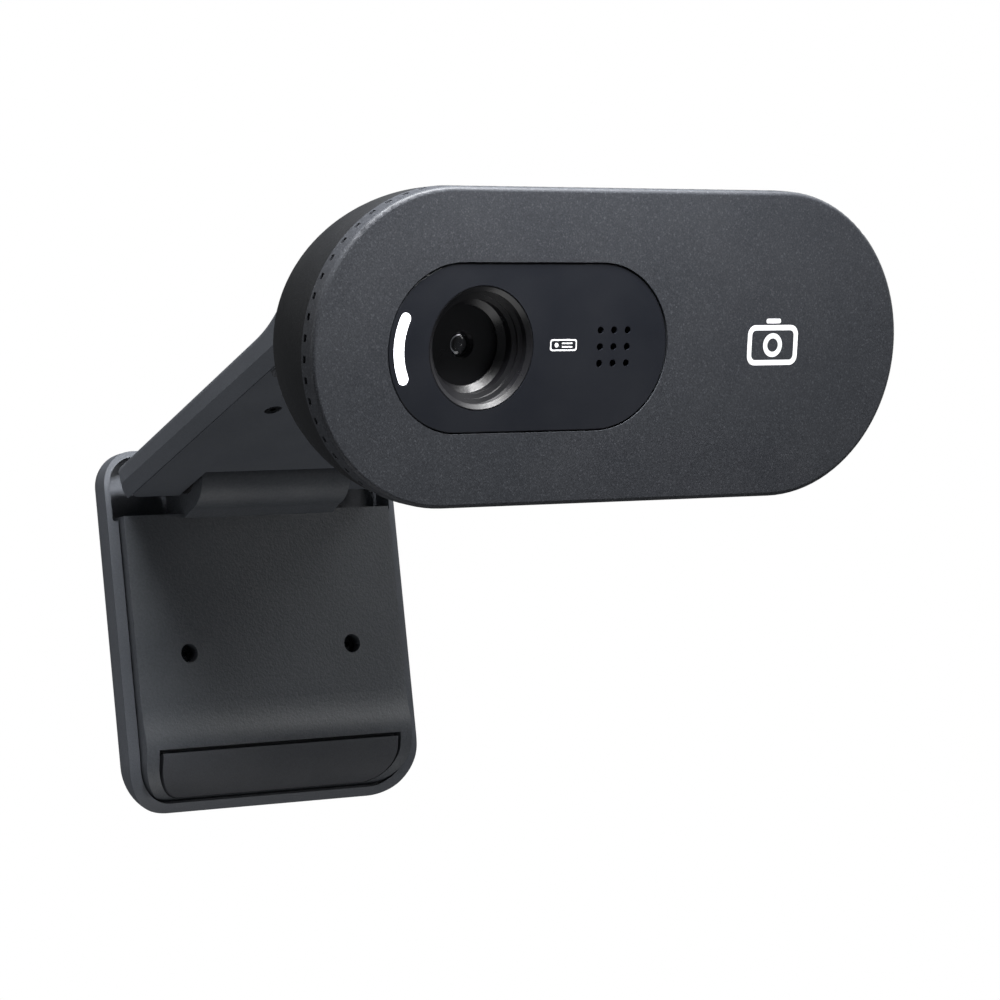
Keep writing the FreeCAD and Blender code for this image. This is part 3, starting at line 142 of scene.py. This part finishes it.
class Finish:
    """A material with one Principled shader, and short calls for the nodes that feed it."""

    def __init__(self, name, **constants):
        self.material = bpy.data.materials.new(name)
        self.material.use_nodes = True
        self.tree = self.material.node_tree
        self.shader = self.tree.nodes["Principled BSDF"]
        self.place = self.tree.nodes.new("ShaderNodeTexCoord").outputs["Object"]
        for label, value in constants.items():
            self.shader.inputs[label.replace("_", " ")].default_value = value

    def link(self, source, target):
        self.tree.links.new(source, target)

    def feed(self, label, source):
        self.link(source, self.shader.inputs[label])

    def stretched(self, x, y, z):
        """The object's coordinates, scaled along each axis."""
        node = self.tree.nodes.new("ShaderNodeMapping")
        node.inputs["Scale"].default_value = (x, y, z)
        self.link(self.place, node.inputs["Vector"])
        return node.outputs["Vector"]

    def noise(self, size, detail=2.0, rough=0.5, place=None):
        """Soft noise whose blotches are about size across."""
        node = self.tree.nodes.new("ShaderNodeTexNoise")
        node.inputs["Scale"].default_value = 1.0 / size
        node.inputs["Detail"].default_value = detail
        node.inputs["Roughness"].default_value = rough
        self.link(place or self.place, node.inputs["Vector"])
        return node.outputs["Fac"]

    def cells(self, size, output="Distance", feature="F1"):
        """A cell pattern whose cells are about size across."""
        node = self.tree.nodes.new("ShaderNodeTexVoronoi")
        node.feature = feature
        node.inputs["Scale"].default_value = 1.0 / size
        self.link(self.place, node.inputs["Vector"])
        return node.outputs[output]

    def spread(self, source, low, high, start=0.0, end=1.0):
        """source from start to end, as a number from low to high."""
        node = self.tree.nodes.new("ShaderNodeMapRange")
        node.inputs["From Min"].default_value = start
        node.inputs["From Max"].default_value = end
        node.inputs["To Min"].default_value = low
        node.inputs["To Max"].default_value = high
        self.link(source, node.inputs["Value"])
        return node.outputs["Result"]

    def combine(self, operation, first, second):
        """A sum, product or other operation on two numbers, either of which may be fixed."""
        node = self.tree.nodes.new("ShaderNodeMath")
        node.operation = operation
        for socket, value in zip(node.inputs, (first, second)):
            if isinstance(value, (int, float)):
                socket.default_value = value
            else:
                self.link(value, socket)
        return node.outputs["Value"]

    def colours(self, source, *stops):
        """source turned to colour through stops of (place, colour)."""
        node = self.tree.nodes.new("ShaderNodeValToRGB")
        ramp = node.color_ramp
        while len(ramp.elements) < len(stops):
            ramp.elements.new(0.5)
        for element, (place, colour) in zip(ramp.elements, stops):
            element.position = place
            element.color = colour
        self.link(source, node.inputs["Fac"])
        return node.outputs["Color"]

    def mixed(self, share, first, second):
        """Two colours mixed by share."""
        node = self.tree.nodes.new("ShaderNodeMix")
        node.data_type = "RGBA"
        sockets = {s.identifier: s for s in node.inputs}
        chosen = (("Factor_Float", share), ("A_Color", first), ("B_Color", second))
        for identifier, value in chosen:
            if isinstance(value, (int, float, tuple)):
                sockets[identifier].default_value = value
            else:
                self.link(value, sockets[identifier])
        return {s.identifier: s for s in node.outputs}["Result_Color"]

    def bump(self, *layers):
        """Bump from layers of (height source, height in metres), one on top of the other."""
        normal = None
        for source, height in layers:
            node = self.tree.nodes.new("ShaderNodeBump")
            node.inputs["Strength"].default_value = 1.0
            node.inputs["Distance"].default_value = height
            self.link(source, node.inputs["Height"])
            if normal is not None:
                self.link(normal, node.inputs["Normal"])
            normal = node.outputs["Normal"]
        self.feed("Normal", normal)

    def light_dust(self, colour, amount):
        """colour, a little lighter in broad soft patches, as handling and dust leave it."""
        patches = self.spread(self.noise(DUST_SIZE, 4.0, 0.6), 0.0, amount, 0.35, 0.75)
        return self.mixed(patches, colour, srgb(*DUST_TONE))


def face_paint():
    """Charcoal paint with a fine metallic grain and scattered lighter flecks."""
    finish = Finish("face_paint", Metallic=0.15, IOR=1.45, Specular_IOR_Level=0.25)
    grain = finish.noise(0.16 * MM, 3.0, 0.7)
    tone = finish.colours(
        grain,
        (0.3, srgb(34, 35, 39)),
        (0.5, srgb(43, 45, 49)),
        (0.72, srgb(55, 57, 62)),
    )
    fleck = finish.cells(0.15 * MM, "Color")
    bright = finish.spread(fleck, 0.0, 0.3, 0.7, 1.0)
    tone = finish.mixed(bright, tone, srgb(93, 95, 100))
    finish.feed("Base Color", finish.light_dust(tone, 0.02))
    finish.feed("Roughness", finish.spread(grain, 0.46, 0.6, *MIDDLE))
    finish.bump((grain, 0.01 * MM), (finish.noise(0.45 * MM, 2.0), 0.006 * MM))
    return finish.material


def moulded(name, dark, light, grain_size, grain_height, rough, dust=0.015, specular=0.5):
    """Moulded plastic: a fine spark-eroded grain, slight colour drift, and dull patches."""
    finish = Finish(name, IOR=1.47, Specular_IOR_Level=specular)
    grain = finish.noise(grain_size, 3.0, 0.65)
    drift = finish.noise(DRIFT_SIZE, 3.0)
    fine = finish.combine("MULTIPLY", grain, GRAIN_SHARE)
    broad = finish.combine("MULTIPLY", drift, 1.0 - GRAIN_SHARE)
    tone = finish.colours(finish.combine("ADD", fine, broad), (0.36, dark), (0.64, light))
    finish.feed("Base Color", finish.light_dust(tone, dust))
    patches = finish.noise(PATCH_SIZE, 4.0, 0.6)
    finish.feed("Roughness", finish.spread(patches, *rough, *MIDDLE))
    finish.bump((drift, 0.02 * MM), (grain, grain_height))
    return finish.material


def clear_glass(name, tint, coat_tint, roughness):
    """Polished optical glass with a faint coating colour and a slight haze."""
    finish = Finish(name, Transmission_Weight=1.0, IOR=1.52)
    haze = finish.noise(2.5 * MM, 3.0)
    finish.feed("Base Color", finish.colours(haze, (0.3, tint), (0.7, coat_tint)))
    finish.feed("Roughness", finish.spread(haze, roughness * 0.6, roughness, *MIDDLE))
    finish.bump((haze, 0.001 * MM))
    return finish.material


def lit_diffuser():
    """A milky light guide, lit from behind, a little dimmer where the plastic is thicker."""
    finish = Finish("light_diffuser", IOR=1.49)
    cloud = finish.noise(0.9 * MM, 2.0)
    tone = finish.colours(cloud, (0.3, srgb(238, 240, 248)), (0.7, srgb(252, 252, 255)))
    finish.feed("Base Color", tone)
    finish.feed("Emission Color", tone)
    finish.feed("Emission Strength", finish.spread(cloud, 2.2, 2.8, *MIDDLE))
    finish.feed("Roughness", finish.spread(cloud, 0.25, 0.4, *MIDDLE))
    finish.bump((cloud, 0.01 * MM))
    return finish.material


def turned_metal(name, dark, light, pitch):
    """Turned metal: fine rings along the length and a light oil film."""
    finish = Finish(name, Metallic=1.0)
    rings = finish.noise(pitch, 2.0, 0.5, finish.stretched(1.0, 0.15, 0.15))
    film = finish.noise(2.0 * MM, 3.0)
    finish.feed("Base Color", finish.colours(film, (0.3, dark), (0.7, light)))
    finish.feed("Roughness", finish.spread(rings, 0.2, 0.38, *MIDDLE))
    finish.bump((rings, 0.004 * MM))
    return finish.material


def circuit_board():
    """Green solder mask over copper: lighter tracks show through in a fine pattern."""
    finish = Finish("board", IOR=1.5)
    edges = finish.cells(1.6 * MM, "Distance", "DISTANCE_TO_EDGE")
    tracks = finish.spread(edges, 0.0, 1.0, 0.05, 0.08)
    tone = finish.mixed(tracks, srgb(42, 118, 74), srgb(16, 74, 42))
    finish.feed("Base Color", finish.light_dust(tone, 0.03))
    finish.feed("Roughness", finish.spread(finish.noise(1.5 * MM, 3.0), 0.22, 0.4, *MIDDLE))
    finish.bump((tracks, 0.02 * MM))
    return finish.material


def soft_foam():
    """Closed-cell foam: small pits all over, with painted shade that darkens the colour towards
    the bottom of each pit.
    """
    finish = Finish("foam", IOR=1.3)
    pits = finish.cells(0.35 * MM)
    # painted shade: the colour darkens towards the bottom of each pit, where the bump sinks
    tone = finish.colours(pits, (0.1, srgb(30, 30, 31)), (0.7, srgb(58, 58, 60)))
    finish.feed("Base Color", tone)
    finish.feed("Roughness", finish.spread(pits, 0.8, 0.95))
    finish.bump((pits, 0.08 * MM))
    return finish.material


def printed_ink():
    """White ink, slightly uneven, as a pad print is."""
    finish = Finish("printed_ink", IOR=1.45)
    cloud = finish.noise(0.35 * MM, 3.0)
    tone = finish.colours(cloud, (0.3, srgb(214, 214, 216)), (0.7, srgb(236, 236, 238)))
    finish.feed("Base Color", tone)
    finish.feed("Roughness", finish.spread(cloud, 0.42, 0.58, *MIDDLE))
    finish.bump((cloud, 0.003 * MM))
    return finish.material


FINISHES = {
    "face_paint": face_paint(),
    "shell_plastic": moulded(
        "shell_plastic", dark=srgb(11, 12, 14), light=srgb(17, 19, 22), grain_size=0.24 * MM,
        grain_height=0.03 * MM, rough=(0.55, 0.68), dust=0.01, specular=0.25),
    "panel_plastic": moulded(
        "panel_plastic", dark=srgb(17, 19, 25), light=srgb(22, 24, 29), grain_size=0.10 * MM,
        grain_height=0.003 * MM, rough=(0.3, 0.4), dust=0.008),
    "black_plastic": moulded(
        "black_plastic", dark=srgb(12, 12, 14), light=srgb(20, 20, 23), grain_size=0.12 * MM,
        grain_height=0.004 * MM, rough=(0.26, 0.38), dust=0.006),
    "clip_plastic": moulded(
        "clip_plastic", dark=srgb(65, 68, 73), light=srgb(76, 79, 85), grain_size=0.16 * MM,
        grain_height=0.008 * MM, rough=(0.36, 0.48)),
    "clip_textured": moulded(
        "clip_textured", dark=srgb(55, 58, 62), light=srgb(67, 70, 75), grain_size=0.3 * MM,
        grain_height=0.03 * MM, rough=(0.3, 0.42), specular=0.8),
    "rubber": moulded(
        "rubber", dark=srgb(45, 47, 51), light=srgb(55, 57, 62), grain_size=0.18 * MM,
        grain_height=0.012 * MM, rough=(0.58, 0.72), dust=0.03),
    "lens_glass": clear_glass("lens_glass", srgb(246, 248, 255), srgb(250, 250, 255), 0.02),
    "filter_glass": clear_glass("filter_glass", srgb(150, 215, 215), srgb(190, 235, 235), 0.03),
    "light_diffuser": lit_diffuser(),
    "steel": turned_metal(
        "steel", dark=srgb(176, 176, 180), light=srgb(206, 206, 209), pitch=0.05 * MM),
    "black_steel": turned_metal(
        "black_steel", dark=srgb(30, 31, 33), light=srgb(44, 45, 48), pitch=0.05 * MM),
    "board": circuit_board(),
    "chip": moulded(
        "chip", dark=srgb(28, 28, 30), light=srgb(40, 40, 43), grain_size=0.09 * MM,
        grain_height=0.006 * MM, rough=(0.45, 0.6)),
    "mic_metal": turned_metal(
        "mic_metal", dark=srgb(206, 198, 170), light=srgb(228, 220, 194), pitch=0.08 * MM),
    "foam": soft_foam(),
    "connector_nylon": moulded(
        "connector_nylon", dark=srgb(214, 206, 186), light=srgb(232, 225, 208),
        grain_size=0.12 * MM, grain_height=0.006 * MM, rough=(0.35, 0.5)),
}
INK = printed_ink()


def dress_cad_nodes():
    """Each CAD node takes the finish of its material slot."""
    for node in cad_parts.values():
        for index, old in enumerate(node.data.materials):
            node.data.materials[index] = FINISHES[old.name.split(".")[0]]


# --- printed marks ----------------------------------------------------------------------------


def flat_side(node):
    """The largest flat front of a CAD node: a matrix with X to the right, Y up and Z outward."""
    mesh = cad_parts[node].data
    count = len(mesh.polygons)
    normals = np.zeros(count * 3)
    areas = np.zeros(count)
    centres = np.zeros(count * 3)
    mesh.polygons.foreach_get("normal", normals)
    mesh.polygons.foreach_get("area", areas)
    mesh.polygons.foreach_get("center", centres)
    normals = normals.reshape(-1, 3)
    centres = centres.reshape(-1, 3)
    sums = {}
    for normal, area, centre in zip(normals, areas, centres):
        if normal[1] < FORWARD:
            key = (*np.round(normal, 3), round(float(normal @ centre) / LEVEL_STEP))
            sums[key] = sums.get(key, 0.0) + area
    chosen = max(sums, key=sums.get)
    best = np.array(chosen[:3])
    level = chosen[3] * LEVEL_STEP
    outward = Vector(best).normalized()
    right = Vector((1.0, 0.0, 0.0))
    up = outward.cross(right).normalized()
    low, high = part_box(node)
    middle = (low + high) / 2
    origin = Vector(((low.x + high.x) / 2, *middle.yz))
    origin += outward * (level - origin.dot(outward))
    turned = Matrix((right, up, outward)).transposed().to_4x4()
    return Matrix.Translation(origin) @ turned


def round_rectangle(width, tall, radius, steps=8):
    """The points of a rectangle with round corners, about its own middle."""
    points = []
    corners = ((1, 1, 0), (-1, 1, 90), (-1, -1, 180), (1, -1, 270))
    for side_x, side_y, start in corners:
        for step in range(steps + 1):
            angle = math.radians(start + 90 * step / steps)
            x = side_x * (width / 2 - radius) + radius * math.cos(angle)
            y = side_y * (tall / 2 - radius) + radius * math.sin(angle)
            points.append((x, y))
    return points


def ring(radius, steps=40):
    """The points of a circle about its own middle."""
    points = []
    for step in range(steps):
        angle = math.tau * step / steps
        points.append((radius * math.cos(angle), radius * math.sin(angle)))
    return points


def shifted(points, x, y):
    """The same outline, moved."""
    return [(px + x, py + y) for px, py in points]


def printed(name, outlines, place, body):
    """A thin printed mark on the plane that place gives; outlines inside others are holes."""
    curve = bpy.data.curves.new(name, "CURVE")
    curve.dimensions = "2D"
    curve.fill_mode = "BOTH"
    curve.extrude = MARK_HEIGHT / 2
    for outline in outlines:
        spline = curve.splines.new("POLY")
        spline.points.add(len(outline) - 1)
        for point, (x, y) in zip(spline.points, outline):
            point.co = (x, y, 0.0, 1.0)
        spline.use_cyclic_u = True
    holder = bpy.data.objects.new(name + "_outline", curve)
    bpy.context.scene.collection.objects.link(holder)
    bpy.context.view_layer.update()
    graph = bpy.context.evaluated_depsgraph_get()
    mesh = bpy.data.meshes.new_from_object(holder.evaluated_get(graph))
    bpy.data.objects.remove(holder)
    mesh.name = name
    mesh.materials.clear()
    mesh.materials.append(INK)
    piece = bpy.data.objects.new(name, mesh)
    bpy.context.scene.collection.objects.link(piece)
    piece.matrix_world = place
    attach(piece, body)
    return piece


def make_marks():
    """A plain camera sign on the face and a small frame with a dot and two bars on the panel."""
    face = flat_side("front_bezel")
    lift = Matrix.Translation((0.0, 0.0, MARK_HEIGHT / 2))
    sign = face @ Matrix.Translation((ICON_CENTRE_X, ICON_CENTRE_Z, 0.0)) @ lift
    inner_width = ICON_WIDTH - 2 * ICON_LINE
    inner_tall = ICON_TALL - 2 * ICON_LINE
    outlines = [
        round_rectangle(ICON_WIDTH, ICON_TALL, ICON_CORNER),
        round_rectangle(inner_width, inner_tall, ICON_INNER_CORNER),
        ring(EYE_OUTER),
        ring(EYE_INNER),
    ]
    printed("camera_sign", outlines, sign, "head")
    hump = round_rectangle(HUMP_WIDTH, HUMP_TALL, HUMP_CORNER)
    hump = shifted(hump, 0.0, ICON_TALL / 2 + HUMP_LIFT)
    printed("camera_sign_hump", [hump], sign, "head")

    panel = flat_side("inset_panel")
    tag_place = panel @ Matrix.Translation((TAG_X, 0.0, 0.0)) @ lift
    bar = round_rectangle(BAR_WIDTH, BAR_TALL, BAR_CORNER)
    tag = [
        round_rectangle(TAG_WIDTH, TAG_TALL, TAG_CORNER),
        round_rectangle(TAG_WIDTH - 2 * TAG_LINE, TAG_TALL - 2 * TAG_LINE, TAG_INNER_CORNER),
        shifted(ring(DOT_RADIUS), DOT_X, 0.0),
        shifted(bar, BAR_X, BAR_Z),
        shifted(bar, BAR_X, -BAR_Z),
    ]
    printed("panel_sign", tag, tag_place, "head")


# --- studio -----------------------------------------------------------------------------------


def make_floor():
    """A plain pale floor, below the lowest place a viewer looks up from.

    It glows a little, so that it stays pale far from the lights, and sends no light back.
    """
    finish = Finish("floor_paint", Roughness=0.8, Emission_Strength=FLOOR_GLOW)
    cloud = finish.noise(0.3, 2.0)
    tone = finish.colours(cloud, (0.3, srgb(232, 232, 233)), (0.7, srgb(238, 238, 239)))
    finish.feed("Base Color", tone)
    finish.feed("Emission Color", tone)
    mesh = bpy.data.meshes.new("floor")
    level = CAD_BOX[0].z - FLOOR_DROP
    corners = []
    for x, y in ((-1, -1), (1, -1), (1, 1), (-1, 1)):
        corners.append((x * FLOOR_HALF, y * FLOOR_HALF, level))
    mesh.from_pydata(corners, [], [(0, 1, 2, 3)])
    mesh.materials.append(finish.material)
    floor = bpy.data.objects.new("floor", mesh)
    floor.visible_diffuse = False
    floor.visible_glossy = False
    floor.visible_transmission = False
    floor.visible_shadow = False
    bpy.context.scene.collection.objects.link(floor)


def soft_light(name, place, size, power):
    """A rectangular soft light that faces the middle of the object."""
    middle = (CAD_BOX[0] + CAD_BOX[1]) / 2
    light = bpy.data.lights.new(name, "AREA")
    light.shape = "RECTANGLE"
    light.size, light.size_y = size
    light.energy = power
    holder = bpy.data.objects.new(name, light)
    holder.location = place
    holder.rotation_euler = (holder.location - middle).to_track_quat("Z", "Y").to_euler()
    bpy.context.scene.collection.objects.link(holder)


def make_studio():
    world = bpy.data.worlds.new("studio")
    bpy.context.scene.world = world
    world.use_nodes = True
    tree = world.node_tree
    output = tree.nodes["World Output"]
    seen = tree.nodes["Background"]
    seen.inputs["Color"].default_value = (1.0, 1.0, 1.0, 1.0)
    around = tree.nodes.new("ShaderNodeBackground")
    around.inputs["Strength"].default_value = AMBIENT
    around.inputs["Color"].default_value = AMBIENT_TINT
    path = tree.nodes.new("ShaderNodeLightPath")
    choice = tree.nodes.new("ShaderNodeMixShader")
    tree.links.new(path.outputs["Is Camera Ray"], choice.inputs["Fac"])
    tree.links.new(around.outputs["Background"], choice.inputs[1])
    tree.links.new(seen.outputs["Background"], choice.inputs[2])
    tree.links.new(choice.outputs["Shader"], output.inputs["Surface"])
    for name, place, size, power in SOFT_LIGHTS:
        soft_light(name, place, size, power)


def make_camera():
    data = bpy.data.cameras.new("camera")
    data.lens = CAMERA_LENS_MM
    data.sensor_width = CAMERA_SENSOR_MM
    data.clip_start = CAMERA_NEAR
    data.clip_end = CAMERA_FAR
    camera = bpy.data.objects.new("camera", data)
    camera.location = CAMERA_PLACE
    camera.rotation_euler = Euler([math.radians(turn) for turn in CAMERA_TURN_DEG])
    bpy.context.scene.collection.objects.link(camera)
    bpy.context.scene.camera = camera


dress_cad_nodes()
make_marks()
make_floor()
make_studio()
make_camera()
bpy.context.scene.view_settings.view_transform = "Standard"
